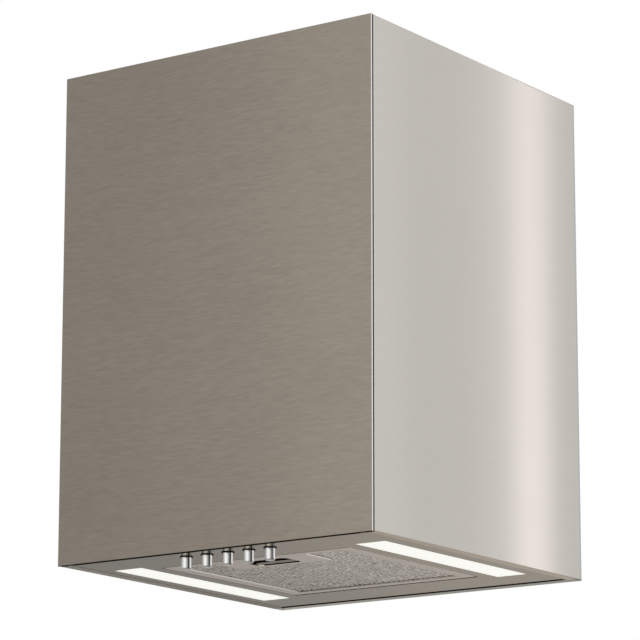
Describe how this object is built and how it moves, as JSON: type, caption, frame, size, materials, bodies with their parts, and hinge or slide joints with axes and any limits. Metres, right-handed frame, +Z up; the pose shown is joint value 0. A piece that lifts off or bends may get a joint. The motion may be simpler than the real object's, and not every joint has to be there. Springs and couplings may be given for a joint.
{
  "type": "chimney range hood",
  "caption": "Wall-mounted box-shaped kitchen extractor hood in brushed stainless steel, with push buttons, grease filter, lamps and a round duct outlet.",
  "frame": {"origin": "centre of the flat back face, which lies on the wall and is also the centre of the wall screws", "axes": "+Z up, +Y into the wall, +X to the right for someone who faces the hood"},
  "size_m": [0.3, 0.3, 0.4566],
  "materials": {
    "steel_cover": "horizontal brushed grain",
    "steel_casing": "horizontal brushed grain",
    "steel_plate": "satin brushed",
    "steel_galvanised": "galvanised sheet",
    "foam_black": "closed-cell foam",
    "plastic_black": "moulded",
    "chrome": "polished",
    "spring_steel": "drawn wire and strip",
    "lens_frosted": "frosted, lit from behind",
    "lamp_channel": "extruded",
    "circuit_board": "white board",
    "filter_aluminium": "rolled sheet",
    "filter_mesh": "expanded mesh",
    "fan_plastic": "moulded",
    "motor_steel": "drawn can",
    "bronze": "sintered",
    "capacitor_can": "moulded can",
    "collar_plastic": "moulded",
    "pin_steel": "ground",
    "box_plastic": "moulded",
    "screw_zinc": "zinc plated"
  },
  "bodies": {
    "hood": {"bottom_plate": "steel_plate", "button_guide": "plastic_black", "cable_gland": "plastic_black", "capacitor": "capacitor_can", "casing_shell": "steel_casing", "collar_screws": "screw_zinc", "filter_catch": "spring_steel", "flap_spindle": "pin_steel", "front_foam": "foam_black", "front_panel": "steel_cover", "gland_nut": "plastic_black", "lamp_board_left": "circuit_board", "lamp_board_right": "circuit_board", "lamp_housing_left": "lamp_channel", "lamp_housing_right": "lamp_channel", "lamp_lens_left": "lens_frosted", "lamp_lens_right": "lens_frosted", "led_driver": "box_plastic", "motor_bearings": "bronze", "motor_bracket": "steel_galvanised", "motor_can": "motor_steel", "outlet_collar": "collar_plastic", "panel_screws": "screw_zinc", "plate_screws": "screw_zinc", "scroll_left": "fan_plastic", "scroll_right": "fan_plastic", "spring_high": "spring_steel", "spring_light": "spring_steel", "spring_low": "spring_steel", "spring_medium": "spring_steel", "spring_off": "spring_steel", "stud_nuts": "screw_zinc", "switch_body": "plastic_black", "terminal_box": "box_plastic", "terminal_cover": "box_plastic", "top_plate": "steel_galvanised", "top_screws": "screw_zinc"},
    "key_off": {"button_off": "chrome"},
    "key_low": {"button_low": "chrome"},
    "key_medium": {"button_medium": "chrome"},
    "key_high": {"button_high": "chrome"},
    "key_light": {"button_light": "chrome"},
    "filter": {"filter_frame": "filter_aluminium", "filter_mesh": "filter_mesh", "filter_guard": "filter_aluminium", "filter_pad": "filter_aluminium", "latch_plate": "filter_aluminium", "latch_spring": "spring_steel"},
    "latch": {"latch_slider": "filter_aluminium"},
    "fan": {"fan_wheel": "fan_plastic", "motor_shaft": "motor_steel"},
    "front_flap": {"flap_front": "collar_plastic"},
    "rear_flap": {"flap_rear": "collar_plastic"}
  },
  "joints": [
    {"name": "press_off", "type": "slide", "parent": "hood", "child": "key_off", "axis": [0, 0, 1], "range_m": [0, 0.003], "stiffness_N_per_m": 300, "springref_m": -0.002, "deforming": ["spring_off"]},
    {"name": "press_low", "type": "slide", "parent": "hood", "child": "key_low", "axis": [0, 0, 1], "range_m": [0, 0.003], "stiffness_N_per_m": 300, "springref_m": -0.002, "deforming": ["spring_low"]},
    {"name": "press_medium", "type": "slide", "parent": "hood", "child": "key_medium", "axis": [0, 0, 1], "range_m": [0, 0.003], "stiffness_N_per_m": 300, "springref_m": -0.002, "deforming": ["spring_medium"]},
    {"name": "press_high", "type": "slide", "parent": "hood", "child": "key_high", "axis": [0, 0, 1], "range_m": [0, 0.003], "stiffness_N_per_m": 300, "springref_m": -0.002, "deforming": ["spring_high"]},
    {"name": "press_light", "type": "slide", "parent": "hood", "child": "key_light", "axis": [0, 0, 1], "range_m": [0, 0.003], "stiffness_N_per_m": 300, "springref_m": -0.002, "deforming": ["spring_light"]},
    {"name": "filter_swing", "type": "hinge", "parent": "hood", "child": "filter", "pos_m": [0, -0.06445, -0.1969], "axis": [1, 0, 0], "range_deg": [0, 70], "deforming": ["filter_catch"]},
    {"name": "latch_slide", "type": "slide", "parent": "filter", "child": "latch", "axis": [0, 1, 0], "range_m": [0, 0.003], "stiffness_N_per_m": 250, "springref_m": -0.002, "deforming": ["latch_spring"]},
    {"name": "fan_spin", "type": "hinge", "parent": "hood", "child": "fan", "pos_m": [0, -0.1855, 0.03], "axis": [1, 0, 0], "continuous": true},
    {"name": "front_flap_swing", "type": "hinge", "parent": "hood", "child": "front_flap", "pos_m": [0, -0.1, 0.2062], "axis": [-1, 0, 0], "range_deg": [0, 70]},
    {"name": "rear_flap_swing", "type": "hinge", "parent": "hood", "child": "rear_flap", "pos_m": [0, -0.1, 0.2062], "axis": [1, 0, 0], "range_deg": [0, 70]}
  ]
}
